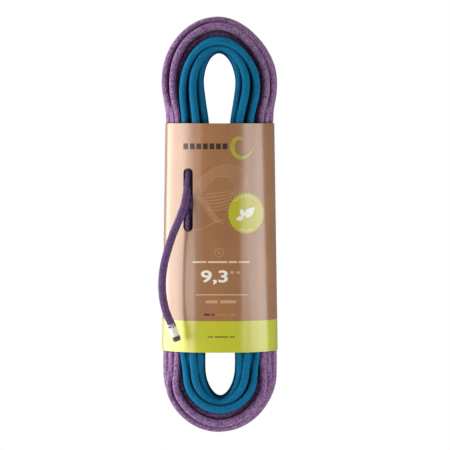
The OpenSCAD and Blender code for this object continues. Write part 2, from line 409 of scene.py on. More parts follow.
ROOT = [(-37.4, -49.5, -111.6), (-37.4, -49.5, -123.5), (-37.4, -49.5, -135.3),
        (-37.4, -49.8, -147.1), (-37.9, -51.8, -156.9), (-38.6, -55.5, -164.8),
        (-39.6, -60, -171.5), (-40.5, -62.6, -175.9)]
PIN = (-41.6, -65, -181.2)
TAIL = [PIN, (-44.3, -66, -189.1), (-48, -66, -198.9), (-51.9, -66, -207.7),
        (-55.8, -66, -217.5), (-61.5, -66, -235.2), (-65.5, -66, -250.9),
        (-67.6, -66, -266.6), (-67.9, -66, -280.4), (-66.6, -66, -293.1), (-64, -66, -304.9),
        (-60.4, -66, -314.7)]
LEAN = math.radians(20)
TAIL_END = np.array([-49.8, -66, -341.9])
TAIL_DIR = np.array([math.sin(LEAN), 0, -math.cos(LEAN)])
BLUE = [(27, 20, -128), (23.5, 20, -140), (18, 20, -152), (12, 20, -163), (6.5, 20, -175),
        (2.5, 20, -188), (0.5, 20, -200), (0, 20, -212)]
BLUE_END = np.array([0, 20, -242.0])
BLUE_DIR = np.array([0, 0, -1.0])
RING_L, LABEL_L, TIP_L = 4.3, 11.0, 6.2
FIT_L = RING_L + LABEL_L + TIP_L

purple_path, blue_path = [np.array([ROOT[0]], float)], []
for i, s in enumerate(slots[:-1]):
    pts = turn(s, slots[i + 1], low=(2, 1) if i == 0 else None, start=106 if i == 0 else None)
    (purple_path if i < len(purple_slots) else blue_path).append(pts)
blue_path.append(turn(slots[-1], None, end=106))
blue_path.append(np.array(BLUE + [tuple(BLUE_END - BLUE_DIR * TIP_L)], float))
purple_path, blue_path = np.vstack(purple_path), np.vstack(blue_path)
n_purple = len(purple_path)
# the two halves are one rope, so they share the point where the colour changes
whole = np.vstack([purple_path, blue_path])
whole = waver(relax(whole, 3), 0.28)
whole[0] = ROOT[0]
blend_in = ease(np.arange(len(whole)) / 6)[:, None]
straight = np.array(ROOT[0]) + np.arange(len(whole))[:, None] * np.array([0, 0.3, 5.0])
whole = np.where(blend_in < 1, straight * (1 - blend_in) + whole * blend_in, whole)
purple_line, blue_line = whole[:n_purple + 1], whole[n_purple:]
last = len(BLUE) + 1
tail_of_blue = through(list(blue_line[-last - 6:-last:2]) + BLUE
                       + [tuple(BLUE_END - BLUE_DIR * FIT_L),
                          tuple(BLUE_END - BLUE_DIR * TIP_L)], 4.0)
blue_line = np.vstack([blue_line[:-last - 6], tail_of_blue])

CARRIERS, LAY_LENGTH = 24, 0.032     # the sheath's yarns each way, and their pitch in metres


def braid_relief(length, share):
    """Raised crossings of the sheath's yarns, in millimetres."""
    a = CARRIERS * (share + length / LAY_LENGTH)
    b = CARRIERS * (share - length / LAY_LENGTH)
    over = (np.floor(a) + np.floor(b)) % 2
    pa, pb = np.abs(np.sin(math.pi * a)), np.abs(np.sin(math.pi * b))
    hill = np.where(over > 0.5, pa ** 0.7 * pb ** 0.35, pb ** 0.7 * pa ** 0.35)
    return 0.16 * hill - 0.12


rope_purple = tube("rope_purple", purple_line, R, 14)
rope_blue = tube("rope_blue", blue_line, R, 14)
tail_line = through(ROOT + TAIL + [tuple(TAIL_END - TAIL_DIR * FIT_L),
                                   tuple(TAIL_END - TAIL_DIR * TIP_L * 0.9)], 0.55)
rope_tail = tube("rope_tail", tail_line, R, 72, braid_relief)

for ob, slot_name, nodes in (
        (rope_purple, "rope_purple", ["purple_turns"]),
        (rope_blue, "rope_blue", ["blue_turns", "blue_end_sheath", "blue_end_core"])):
    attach(ob, "coil")
    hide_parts(*nodes)
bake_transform(rope_tail)
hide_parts("root_sheath", "root_core", "tail_sheath", "tail_core")

# ------------------------------------------------------------------ finished ends


def revolve(name, profile, end, direction, sides=48, wear=0.0):
    """A closed solid of revolution round a rope end; profile is (distance back, radius)."""
    d = np.array(direction, float)
    u = np.cross(d, [0, 1, 0.03])
    u /= np.linalg.norm(u)
    v = np.cross(d, u)
    prof = np.array(profile, float)
    verts, faces = [], []
    ang = np.arange(sides) * 2 * math.pi / sides
    for k, (back, r) in enumerate(prof):
        for a in ang:
            q = r * (1 + wear * math.sin(3 * a + back * 2.1) * math.sin(2 * a - back))
            verts.append(end - d * back + (u * math.cos(a) + v * math.sin(a)) * q)
    m, closed = len(prof), prof[0][1] > 0.01
    for k in range(m if closed else m - 1):
        for j in range(sides):
            a, b = k * sides + j, k * sides + (j + 1) % sides
            c, e = ((k + 1) % m) * sides + (j + 1) % sides, ((k + 1) % m) * sides + j
            faces.append((a, b, c, e))
    ob = add_object(name, verts, faces)
    uv = ob.data.uv_layers.new(name="lay")
    for loop in ob.data.loops:
        k, j = divmod(loop.vertex_index, sides)
        uv.data[loop.index].uv = (prof[k][0] * MM, j / sides)
    face_outward(ob, weld=not closed)
    return ob


def finished_end(prefix, end, direction, body):
    """Marker ring, label, clear shrink tube and fused tip on a rope's end."""
    back = TIP_L + LABEL_L
    ring = revolve(prefix + "_marker", [
        (FIT_L, 4.6), (FIT_L, 4.78), (FIT_L - 0.3, 4.86), (back + 0.3, 4.86), (back, 4.78),
        (back, 4.6)], end, direction)
    label = revolve(prefix + "_paper_label", [
        (back, 4.6), (back, 4.88), (back - 0.2, 4.9), (TIP_L + 0.2, 4.9), (TIP_L, 4.88),
        (TIP_L, 4.6)], end, direction)
    outer = [(FIT_L - (FIT_L - 0.6) * t,
              5.13 + 0.02 * math.sin(9 * t) - 0.12 * max(0.0, (t - 0.88) / 0.12) ** 2)
             for t in np.linspace(0, 1, 16)]
    film = revolve(prefix + "_shrink_film",
                   outer + [(b, r - 0.18) for b, r in reversed(outer)], end, direction)
    tip = revolve(prefix + "_fused_tip", [
        (TIP_L + 0.5, 0.001), (TIP_L + 0.5, 4.4), (TIP_L, 4.62), (3.5, 4.64), (1.6, 4.58),
        (0.8, 4.3), (0.3, 3.7), (0.06, 2.7), (0.0, 1.4), (0.15, 0.001)],
        end, direction, wear=0.012)
    for ob, node, slot_name in ((ring, "_ring", "marker"), (label, "_label", "label"),
                                (film, "_shrink", "clear_film"), (tip, "_tip", "fused_tip")):
        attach(ob, body)
        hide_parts(prefix + node)
    return [ring, label, film, tip]


tail_fittings = finished_end("tail", TAIL_END, TAIL_DIR, "tail")
blue_fittings = finished_end("blue_end", BLUE_END, BLUE_DIR, "coil")


def length_of(path):
    """A path's length in metres."""
    return float(arc_length(path)[-1]) * MM


print("lengths", length_of(purple_line), length_of(blue_line), length_of(tail_line))

# ------------------------------------------------------------------ the card
LAP = 11.0                           # half the width of the seam's lap


def card_axes(d, off):
    """Half width and half depth of the card's oval, off outside its skin."""
    t = (d - CARD_TOP) / CARD_H
    return CARD_W + WIDER * t + off, CARD_D - THINNER * t + off


def ripple(x_share, d):
    """Shallow vertical waves where the card bears on the strands below."""
    return (0.16 * np.sin(x_share * 9.0 + 0.6) + 0.10 * np.sin(x_share * 21.0 + d * 0.006)
            + 0.05 * np.sin(x_share * 37.0 - d * 0.011) - 0.06)


def oval_at(theta, d, off):
    """Point of the card at angle theta."""
    a, b = card_axes(d, off)
    c, s = np.cos(theta), np.sin(theta)
    k = ripple(c, d)
    return ((a + k) * np.sign(c) * np.abs(c) ** (2 / SUP),
            (b + k) * np.sign(s) * np.abs(s) ** (2 / SUP))


def on_front(x, z, off):
    """The point of the card's front skin seen at x, z, raised by off."""
    d = -np.asarray(z, float)
    a, b = card_axes(d, off)
    c = np.sign(x) * np.minimum(np.abs(x) / a, 1) ** (SUP / 2)
    k = ripple(c, d)
    return -(b + k) * np.maximum(0.0, 1 - (np.abs(x) / (a + k)) ** SUP) ** (1 / SUP)


def back_angle(x):
    """Angle of the back of the card at x."""
    c = np.sign(x) * (abs(x) / (CARD_W + WIDER)) ** (SUP / 2)
    return math.acos(c)


def make_card():
    """The card as one sheet, from under its lap once round to the lap's end."""
    start, stop = back_angle(-LAP), back_angle(LAP)
    lap = np.linspace(start, stop, 12)
    round_ = np.linspace(stop, start - 2 * math.pi, 220)[1:-1]
    thetas = np.concatenate([lap, round_, lap - 2 * math.pi])
    n_in = len(lap) + len(round_)
    lifts = CARD_T * 1.25 * ease((np.arange(len(thetas)) - n_in + 10) / 10.0)
    depths = np.linspace(CARD_TOP, CARD_LOW, 56)
    m, k = len(thetas), len(depths)
    verts = []
    for off in (0.0, -CARD_T):
        for th, lift in zip(thetas, lifts):
            x, y = oval_at(th, depths, off + lift)
            verts += list(zip(x, y, -depths))

    def outer(i, j):
        return i * k + j

    def inner(i, j):
        return m * k + outer(i, j)

    faces = []
    for i in range(m - 1):
        for j in range(k - 1):
            faces.append((outer(i, j), outer(i + 1, j), outer(i + 1, j + 1), outer(i, j + 1)))
            faces.append((inner(i, j), inner(i, j + 1), inner(i + 1, j + 1), inner(i + 1, j)))
        faces.append((outer(i, 0), inner(i, 0), inner(i + 1, 0), outer(i + 1, 0)))
        faces.append((outer(i, k - 1), outer(i + 1, k - 1), inner(i + 1, k - 1),
                      inner(i, k - 1)))
    for j in range(k - 1):
        faces.append((outer(0, j), outer(0, j + 1), inner(0, j + 1), inner(0, j)))
        faces.append((outer(m - 1, j), inner(m - 1, j), inner(m - 1, j + 1),
                      outer(m - 1, j + 1)))
    ob = add_object("card", verts, faces)
    face_outward(ob)
    return ob


SLOT_X, SLOT_TOP, SLOT_W, SLOT_H = -37.4, 138.0, 11.2, 75.0


def slot_cutter():
    """The slot's prism, with round ends."""
    r = SLOT_W / 2
    top, low = -SLOT_TOP - r, -SLOT_TOP - SLOT_H + r
    ring = [(SLOT_X + r * math.cos(a), top + r * math.sin(a))
            for a in np.linspace(0, math.pi, 21)]
    ring += [(SLOT_X + r * math.cos(a), low + r * math.sin(a))
             for a in np.linspace(math.pi, 2 * math.pi, 21)]
    n = len(ring)
    verts = [(x, -80, z) for x, z in ring] + [(x, -30, z) for x, z in ring]
    faces = [tuple(range(n - 1, -1, -1)), tuple(range(n, 2 * n))]
    faces += [(i, (i + 1) % n, n + (i + 1) % n, n + i) for i in range(n)]
    ob = add_object("slot_cutter", verts, faces, smooth=False)
    face_outward(ob)
    return ob


card = make_card()
cutter = slot_cutter()
cut = card.modifiers.new("slot", "BOOLEAN")
cut.object = cutter
cut.operation = "DIFFERENCE"
cut.solver = "EXACT"
deps = bpy.context.evaluated_depsgraph_get()
new_mesh = bpy.data.meshes.new_from_object(card.evaluated_get(deps))
card.modifiers.clear()
card.data = new_mesh
bpy.data.objects.remove(cutter, do_unlink=True)


def sharpen(ob, degrees=30):
    """Smooth faces with crisp edges where they meet at more than that angle."""
    limit = math.radians(degrees)
    with editing(ob) as bm:
        for e in bm.edges:
            e.smooth = len(e.link_faces) == 2 and e.calc_face_angle(0) < limit
        for f in bm.faces:
            f.smooth = True


sharpen(card)
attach(card, "sleeve")
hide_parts("card_sleeve")

# ------------------------------------------------------------------ prints on the card


def hugging(name, verts2, faces, off, thick):
    """A thin sheet laid on the card; its flat outline is given as the camera sees it against
    the plane through the coil's middle."""
    v = np.array(verts2, float)
    x, z, y = v[:, 0].copy(), v[:, 1].copy(), np.zeros(len(v))
    for _ in range(4):
        near = (CAM_FAR + y * MM) / CAM_FAR
        x = CAM_X + (v[:, 0] - CAM_X) * near
        z = CAM_Z + (v[:, 1] - CAM_Z) * near
        y = on_front(x, z, off)
    ob = add_object(name, np.stack([x, y, z], axis=1), faces)
    with editing(ob) as bm:
        for f in bm.faces:
            if f.normal.y > 0:
                f.normal_flip()
    mod = ob.modifiers.new("thickness", "SOLIDIFY")
    mod.thickness = thick * MM
    mod.offset = 1.0
    crisp = ob.modifiers.new("crisp_rim", "EDGE_SPLIT")
    crisp.split_angle = math.radians(40)
    crisp.use_edge_sharp = False
    return ob


def finish_print(ob):
    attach(ob, "sleeve")
    return ob


def stroke(points, width, step=2.0):
    """A ribbon of that width along points."""
    p = through(np.array([(x, 0, z) for x, z in points], float), step)[:, [0, 2]]
    t = np.gradient(p, axis=0)
    t /= np.maximum(np.linalg.norm(t, axis=1), 1e-9)[:, None]
    nrm = np.stack([-t[:, 1], t[:, 0]], axis=1)
    w = np.asarray(width if np.ndim(width) else [width] * len(p), float)
    if len(w) != len(p):
        w = np.interp(np.linspace(0, 1, len(p)), np.linspace(0, 1, len(w)), w)
    verts = np.vstack([p + nrm * w[:, None] / 2, p - nrm * w[:, None] / 2])
    n = len(p)
    return verts, [(i, i + 1, n + i + 1, n + i) for i in range(n - 1)]


def together(shapes):
    """Several flat shapes as one."""
    verts, faces = [], []
    for v, f in shapes:
        base = len(verts)
        verts += [tuple(p) for p in v]
        faces += [tuple(i + base for i in face) for face in f]
    return verts, faces


def bar(x0, x1, z, h):
    """A plain bar."""
    return stroke([(x0, z), ((x0 + x1) / 2, z), (x1, z)], h, 3.0)


def words(x0, x1, z, h, lengths, space=0.9):
    """Blank bars of word lengths that share the span x0 to x1."""
    gap = h * space
    total = x1 - x0 - gap * (len(lengths) - 1)
    unit, x, out = total / sum(lengths), x0, []
    for part in lengths:
        out.append(bar(x, x + part * unit, z, h))
        x += part * unit + gap
    return out


def digits(text, x_mid, z_base, height, width):
    """Digits as a fine flat mesh, of that height and whole width."""
    cu = bpy.data.curves.new("digits", "FONT")
    cu.body = text
    cu.size = 10.0
    cu.offset = 0.22
    cu.resolution_u = 6
    ob = bpy.data.objects.new("digits", cu)
    scene.collection.objects.link(ob)
    bpy.context.view_layer.update()
    me = bpy.data.meshes.new_from_object(
        ob.evaluated_get(bpy.context.evaluated_depsgraph_get()))
    bpy.data.objects.remove(ob, do_unlink=True)
    bm = bmesh.new()
    bm.from_mesh(me)
    bmesh.ops.remove_doubles(bm, verts=bm.verts, dist=1e-4)
    for _ in range(4):
        bmesh.ops.triangulate(bm, faces=bm.faces)
        long_ = [e for e in bm.edges if e.calc_length() > 1.6]
        if not long_:
            break
        bmesh.ops.subdivide_edges(bm, edges=long_, cuts=1)
    bmesh.ops.triangulate(bm, faces=bm.faces)
    co = np.array([v.co[:2] for v in bm.verts])
    bm.verts.ensure_lookup_table()
    faces = [tuple(v.index for v in f.verts) for f in bm.faces]
    bm.free()
    low, high = co.min(axis=0), co.max(axis=0)
    digit_h = 7.29                    # height of a digit at size 10
    k = np.array([width / (high[0] - low[0]), height / digit_h])
    co = (co - [(low[0] + high[0]) / 2, 0]) * k + [x_mid, z_base]
    return co, faces


PRINT = 0.05                         # height of the ink over the card


def printed(name, shape):
    """One ink on the card, as its own thin piece."""
    return finish_print(hugging(name, *shape, PRINT, 0.02))


# hank of cord in line drawing: nested bights over a wrapped middle
lines = []
for i in range(7):
    k = i * 2.1
    lines.append(stroke([(-29 + 1.1 * i, -156 - 2.2 * i), (-19 + k * 0.6, -147 - k * 0.7),
                         (-4 + 0.4 * i, -137.5 - k * 0.9), (12, -134.5 - k * 1.2),
                         (26 - k, -140 - k), (33 - k * 1.15, -152 - k * 0.6),
                         (30 - k * 0.9, -166 + k * 0.2), (20 - k * 0.5, -176 + k * 0.4)], 0.55))
for i in range(6):
    k = i * 4.0
    lines.append(stroke([(-18 + 0.8 * i, -171 - k * 0.9), (-6 + i, -169 - k),
                         (6, -167.5 - k * 0.95), (16 - i * 0.8, -164 - k)], 0.55))
for i in range(5):
    k = i * 2.6
    lines.append(stroke([(-28 + k * 0.9, -172 - k * 0.2), (-22 + k, -181 - k * 0.5),
                         (-14 + k, -193 - k * 0.4), (-6 + k, -204 - k * 0.1)], 0.55))
lines.append(stroke([(-29, -214), (-16, -209), (-4, -203), (6, -200)], 0.55))
art = printed("print_line_art", together(lines))
title = printed("print_title_bars", together(words(-43.8, 9.0, -112.6, 7.0, [1] * 7, 0.3)))
crescent = printed("print_crescent", stroke(
    [(27.5, -104.6), (23.0, -102.4), (17.6, -105.4), (15.0, -112.5), (16.8, -120.4),
     (23, -125.8), (32.0, -124.6), (38.4, -118.6), (41.2, -112.0)],
    [2.2, 4.6, 5.2, 5.2, 5.0, 4.4, 3.0, 1.4, 0.4]))
circle = [(-0.8 + 5.2 * math.cos(a), -240.2 + 5.2 * math.sin(a))
          for a in np.linspace(0, 2 * math.pi, 25)]
faint = printed("print_faint", together(
    [stroke(circle, 0.5), stroke([(-0.8, -238.2), (-0.8, -240.2), (-0.8, -242.2)], 1.1)]
    + words(12.2, 24.6, -264.1, 3.0, [1, 1]) + words(-17, 19.8, -299.4, 3.6, [3, 4], 0.8)))
white = printed("print_white", digits("9,3", -6.6, -275.6, 14.4, 32.4))
rule = printed("print_rule", together(
    [bar(-28.9, 33.0, -291.0, 0.8)] + words(-32.6, 35.6, -251.6, 2.1, [5, 7, 3, 4])))
dark = printed("print_dark_bar", together(words(-18.9, -6.6, -314.9, 2.4, [2, 1])))
orange = printed("print_orange_bar", together(words(-4.6, 19.4, -314.9, 2.4, [3, 2])))
footer = printed("print_footer_bar", together(words(-14.5, 18.2, -341.7, 2.2, [2, 5, 2])))

# ------------------------------------------------------------------ the seal
SEAL = (31.3, -192.8)
SEAL_RX, SEAL_RZ = 21.8, 25.0
SEAL_INK = 0.20                      # height of the seal's print over the card


def disc(name, rx, rz, teeth, off, thick, rings=14, spokes=144):
    """An oval sheet with a serrated edge."""
    verts, faces = [(0.0, 0.0)], []
    for k in range(1, rings + 1):
        for j in range(spokes):
            a = 2 * math.pi * j / spokes
            edge = 1 - (teeth * (j % 4 in (2, 3)) if k == rings else 0)
            verts.append((rx * edge * k / rings * math.cos(a), rz * edge * k / rings * math.sin(a)))
    for j in range(spokes):
        faces.append((0, 1 + j, 1 + (j + 1) % spokes))
    for k in range(rings - 1):
        for j in range(spokes):
            a, b = 1 + k * spokes + j, 1 + k * spokes + (j + 1) % spokes
            faces.append((a, a + spokes, b + spokes, b))
    verts = [(x + SEAL[0], z + SEAL[1]) for x, z in verts]
    return hugging(name, verts, faces, off, thick)


seal = finish_print(disc("seal", SEAL_RX, SEAL_RZ, 0.06, 0.06, 0.12))
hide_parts("seal_sticker")


def leaf(x, z, length, width, turn_deg, rows=14, cols=6):
    """A pointed leaf as a fine grid."""
    verts, faces = [], []
    ca, sa = math.cos(math.radians(turn_deg)), math.sin(math.radians(turn_deg))
    for i in range(rows + 1):
        t = i / rows
        half = max(width / 2 * math.sin(math.pi * t ** 0.85) ** 0.8, 0.02)
        for j in range(cols + 1):
            u, v = t * length, half * (2 * j / cols - 1) + 0.08 * width * math.sin(math.pi * t)
            verts.append((x + u * ca - v * sa, z + u * sa + v * ca))
    for i in range(rows):
        for j in range(cols):
            a = i * (cols + 1) + j
            faces.append((a, a + 1, a + cols + 2, a + cols + 1))
    return verts, faces


def leaf_at(dx, dz, length, width, turn_deg):
    """A leaf whose foot is that far from the seal's middle."""
    return leaf(SEAL[0] + dx, SEAL[1] + dz, length, width, turn_deg)


ring_marks = []
for mid, n in ((90, 9), (270, 5)):
    for i in range(n):
        a0 = math.radians(mid + (i - (n - 1) / 2) * 10.5 - 3.4)
        arc = [(SEAL[0] + 0.83 * SEAL_RX * math.cos(a0 + s),
                SEAL[1] + 0.83 * SEAL_RZ * math.sin(a0 + s)) for s in (0, 0.06, 0.12)]
        ring_marks.append(stroke(arc, 2.0, 0.8))
leaves = finish_print(hugging("seal_leaves", *together(
    [leaf_at(-0.2, -5.0, 16.0, 9.0, 48), leaf_at(-2.2, -3.4, 9.5, 5.6, 116),
     leaf_at(-2.6, -4.6, 10.0, 5.6, 196)]), SEAL_INK, 0.03))
marks = finish_print(hugging("seal_ring_marks", *together(ring_marks), SEAL_INK, 0.03))

# ------------------------------------------------------------------ materials


class Graph:
    """Short names for building one material's node tree."""

    def __init__(self, name):
        self.mat = bpy.data.materials.new(name)
        self.mat.use_nodes = True
        self.nt = self.mat.node_tree
        self.out = self.nt.nodes["Material Output"]
        self.bsdf = self.nt.nodes["Principled BSDF"]

    def node(self, kind, **values):
        nd = self.nt.nodes.new(kind)
        for key, value in values.items():
            setattr(nd, key, value)
        return nd

    def put(self, socket, value):
        if hasattr(value, "is_output"):
            self.nt.links.new(value, socket)
        else:
            socket.default_value = value

    def feed(self, nd, values):
        """Fills a node's first inputs and returns its first output."""
        for s, v in zip(nd.inputs, values):
            self.put(s, v)
        return nd.outputs[0]

    def math(self, op, a, b=0.0, c=0.0):
        return self.feed(self.node("ShaderNodeMath", operation=op), (a, b, c))

    def add(self, a, b):
        return self.math("ADD", a, b)

    def sub(self, a, b):
        return self.math("SUBTRACT", a, b)

    def mul(self, a, b):
        return self.math("MULTIPLY", a, b)

    def mix(self, fac, a, b):
        nd = self.node("ShaderNodeMix", data_type="RGBA")
        self.put(nd.inputs[0], fac)
        self.put(nd.inputs[6], a)
        self.put(nd.inputs[7], b)
        return nd.outputs[2]

    def remap(self, value, a, b, c=0.0, d=1.0):
        return self.feed(self.node("ShaderNodeMapRange"), (value, a, b, c, d))

    def noise(self, vector, scale, detail=2.0, rough=0.5):
        nd = self.node("ShaderNodeTexNoise")
        self.put(nd.inputs["Vector"], vector)
        self.put(nd.inputs["Scale"], scale)
        self.put(nd.inputs["Detail"], detail)
        self.put(nd.inputs["Roughness"], rough)
        return nd.outputs["Fac"]

    def white(self, w):
        nd = self.node("ShaderNodeTexWhiteNoise", noise_dimensions="1D")
        self.put(nd.inputs["W"], w)
        return nd.outputs["Value"]

    def combine(self, x, y, z):
        return self.feed(self.node("ShaderNodeCombineXYZ"), (x, y, z))

    def place(self):
        return self.node("ShaderNodeTexCoord").outputs["Object"]

    def lay(self):
        nd = self.node("ShaderNodeUVMap", uv_map="lay")
        sep = self.node("ShaderNodeSeparateXYZ")
        self.nt.links.new(nd.outputs[0], sep.inputs[0])
        return sep.outputs[0], sep.outputs[1]

    def ramp(self, value, stops):
        nd = self.node("ShaderNodeValToRGB")
        els = nd.color_ramp.elements
        while len(els) < len(stops):
            els.new(0.5)
        for el, (pos, col) in zip(els, stops):
            el.position, el.color = pos, (*col, 1)
        self.put(nd.inputs[0], value)
        return nd.outputs[0]

    def bump(self, height, distance, strength=1.0):
        nd = self.node("ShaderNodeBump")
        self.put(nd.inputs["Height"], height)
        nd.inputs["Distance"].default_value = distance
        nd.inputs["Strength"].default_value = strength
        self.nt.links.new(nd.outputs[0], self.bsdf.inputs["Normal"])

    def set(self, **values):
        for key, value in values.items():
            self.put(self.bsdf.inputs[key.replace("_", " ")], value)
        return self.mat


def srgb(r, g, b):
    """Linear colour of an 8-bit screen colour."""
    return tuple(c / 12.92 if c <= 0.04045 else ((c + 0.055) / 1.055) ** 2.4
                 for c in (r / 255, g / 255, b / 255))


def rgba(*c):
    return (*srgb(*c), 1)


RIB_PITCH = 0.0021                   # metres between the blue half's ribs
PAINTED_SHADE_REACH = 11.0 * MM               # how near a neighbour must come to paint shade onto a strand
LIME_TOP = -0.3187                   # height of the lime band's upper edge


def braid(name, yarns, fleck, fleck_amount, bump_mm, ribs=0.0, rough=0.8, sheen=0.15,
          painted_shade=0.0, shade_tint=(1.0, 1.0, 1.0)):
    """Braided sheath: two sets of yarns crossing over and under, each with its own tint. Its colour
    carries painted shade in the hollows between the crossings and, where asked, painted shade where
    neighbouring strands come near.
    """
    g = Graph(name)
    length, share = g.lay()
    turns = g.mul(length, 1 / LAY_LENGTH)
    a = g.mul(g.add(share, turns), CARRIERS)
    b = g.mul(g.sub(share, turns), CARRIERS)
    fa, fb = g.math("FLOOR", a), g.math("FLOOR", b)
    over = g.math("FLOORED_MODULO", g.add(fa, fb), 2.0)
    over = g.math("GREATER_THAN", over, 0.5)
    pa = g.math("ABSOLUTE", g.math("SINE", g.mul(a, math.pi)))
    pb = g.math("ABSOLUTE", g.math("SINE", g.mul(b, math.pi)))
    hill_a = g.mul(g.math("POWER", pa, 0.7), g.math("POWER", pb, 0.35))
    hill_b = g.mul(g.math("POWER", pb, 0.7), g.math("POWER", pa, 0.35))
    hill = g.add(g.mul(hill_a, over), g.mul(hill_b, g.sub(1.0, over)))
    crossing = g.white(g.add(g.mul(fa, 7.31), g.mul(fb, 3.17)))
    yarn_id = g.add(g.mul(g.math("FLOORED_MODULO", fa, float(CARRIERS)), over),
                    g.mul(g.math("FLOORED_MODULO", fb, float(CARRIERS)), g.sub(-1.0, over)))
    own = g.white(yarn_id)
    yarn = g.add(g.mul(crossing, 0.62), g.mul(own, 0.38))
    colour = g.ramp(yarn, yarns)
    spot = g.noise(g.combine(g.mul(length, 420.0), g.mul(share, 34.0), 0.0), 1.0, 2.0, 0.6)
    colour = g.mix(g.mul(g.remap(spot, 0.52, 0.66), fleck_amount), colour, (*fleck, 1))
    # painted shade: the colour darkens towards the hollows between the yarn crossings
    shade = g.remap(hill, 0.0, 0.8, 0.36, 1.0)
    # painted shade: ambient occlusion darkens the colour where neighbouring strands come near
    if painted_shade:
        ao = g.node("ShaderNodeAmbientOcclusion", samples=8)
        ao.inputs["Distance"].default_value = PAINTED_SHADE_REACH
        shade = g.mul(shade, g.remap(ao.outputs["AO"], 0.15, 0.85, 1 - painted_shade, 1.0))
    dark = g.node("ShaderNodeMix", data_type="RGBA", blend_type="MULTIPLY")
    dark.inputs[0].default_value = 1.0
    g.put(dark.inputs[6], colour)
    if painted_shade:
        # the painted shade is tinted channel by channel, reddish in the purple and greenish-blue in
        # the blue
        g.put(dark.inputs[7], g.combine(*(
            g.mul(shade, g.remap(ao.outputs["AO"], 0.2, 0.9, c, 1.0))
            for c in shade_tint)))
    else:
        g.put(dark.inputs[7], g.combine(shade, shade, shade))
    g.set(Base_Color=dark.outputs[2], Roughness=rough, Sheen_Weight=sheen, Sheen_Roughness=0.4,
          Specular_IOR_Level=0.2)
    if bump_mm:
        height = hill
        if ribs:
            wave = g.math("SINE", g.mul(length, 2 * math.pi / RIB_PITCH))
            height = g.add(hill, g.mul(wave, ribs))
        g.bump(height, bump_mm * MM, 0.9)
    return g.mat


purple_yarns = [(0.0, srgb(68, 36, 84)), (0.32, srgb(144, 98, 156)), (0.62, srgb(190, 146, 202)),
                (1.0, srgb(242, 210, 242))]
blue_yarns = [(0.0, srgb(0, 108, 152)), (0.5, srgb(0, 132, 182)), (1.0, srgb(8, 152, 206))]
# the tail is the same rope as the purple turns; its yarns are a darker copy of their colours,
# painted shade
tail_shaded_yarns = [(0.0, srgb(70, 46, 86)), (0.45, srgb(104, 74, 122)), (1.0, srgb(146, 114, 164))]


def paint(ob, *mats):
    """Gives a piece these materials and no others."""
    ob.data.materials.clear()
    for m in mats:
        ob.data.materials.append(m)


# both coil halves carry painted shade between their strands
paint(rope_purple, braid("braid_purple", purple_yarns, srgb(84, 36, 78), 0.5, 0.30, painted_shade=0.8,
                         shade_tint=(1.1, 0.62, 0.85)))
paint(rope_blue, braid("braid_blue", blue_yarns, srgb(0, 84, 124), 0.3, 0.24, ribs=0.3,
                       sheen=0.0, painted_shade=0.93, shade_tint=(0.6, 0.9, 1.0)))
paint(rope_tail, braid("braid_tail", tail_shaded_yarns, srgb(168, 134, 188), 0.3, 0.05))


def kraft(name, base, dark_side, band=True, coat=1.0):
    """Fibrous card, clouded and coated, with the lime band where band is set."""
    g = Graph(name)
    pos = g.place()
    sep = g.node("ShaderNodeSeparateXYZ")
    g.nt.links.new(pos, sep.inputs[0])

    def stretched(across, along):
        return g.combine(g.mul(sep.outputs[0], across), g.mul(sep.outputs[1], across),
                         g.mul(sep.outputs[2], along))

    fibre = g.noise(stretched(900.0, 260.0), 1.0, 4.0, 0.65)
    cloud = g.noise(pos, 22.0, 3.0, 0.55)
    colour = g.mix(g.remap(cloud, 0.3, 0.7), (*base, 1), (*dark_side, 1))
    colour = g.mix(g.mul(g.remap(fibre, 0.45, 0.7), 0.22), colour, rgba(120, 82, 50))
    if band:
        edge = g.math("LESS_THAN", sep.outputs[2], LIME_TOP)
        lime = g.mix(g.remap(fibre, 0.4, 0.7), rgba(208, 208, 6), rgba(200, 200, 2))
        colour = g.mix(edge, colour, lime)
    g.set(Base_Color=colour, Roughness=g.remap(fibre, 0.3, 0.7, 0.46, 0.54),
          Specular_IOR_Level=0.5, Coat_Weight=coat, Coat_Roughness=0.24, Coat_IOR=1.6)
    streak = g.noise(stretched(120.0, 5.0), 1.0, 2.0, 0.5)
    low = g.remap(sep.outputs[2], -0.14, -0.32, 0.2, 1.0)
    height = g.add(g.mul(fibre, 0.10),
                   g.add(g.mul(cloud, 0.3), g.mul(streak, g.mul(low, 3.2))))
    g.bump(height, 0.10 * MM, 0.6)
    return g.mat


card_print = kraft("kraft_printed", srgb(174, 118, 68), srgb(162, 108, 60))
card_plain = kraft("kraft_raw_edge", srgb(214, 186, 120), srgb(200, 170, 104), band=False,
                   coat=0.0)
card_back = kraft("kraft_inside", srgb(176, 132, 92), srgb(164, 120, 82), band=False, coat=0.0)
paint(card, card_print, card_plain, card_back)
# which way a face looks from the oval says whether it is the skin, a cut edge or the inside
for poly in card.data.polygons:
    c, n = poly.center, poly.normal
    a, b = 67.5 * MM, 64.0 * MM
    out = np.array([np.sign(c.x) * abs(c.x / a) ** (SUP - 1) / a,
                    np.sign(c.y) * abs(c.y / b) ** (SUP - 1) / b])
    out /= max(np.linalg.norm(out), 1e-9)
    facing = out[0] * n.x + out[1] * n.y
    poly.material_index = 0 if facing > 0.6 else (2 if facing < -0.6 else 1)


def ink(name, colour, rough=0.5, coat=1.0, speck=0.08):
    """Ink or label paper under the card's coating."""
    g = Graph(name)
    grain = g.noise(g.place(), 2600.0, 3.0, 0.6)
    colour4 = g.mix(g.mul(g.remap(grain, 0.45, 0.75), speck), (*colour, 1),
                    (*tuple(c * 0.5 for c in colour), 1))
    g.set(Base_Color=colour4, Roughness=rough, Coat_Weight=coat, Coat_Roughness=0.24,
          Coat_IOR=1.6)
    g.bump(grain, 0.02 * MM, 0.3)
    return g.mat


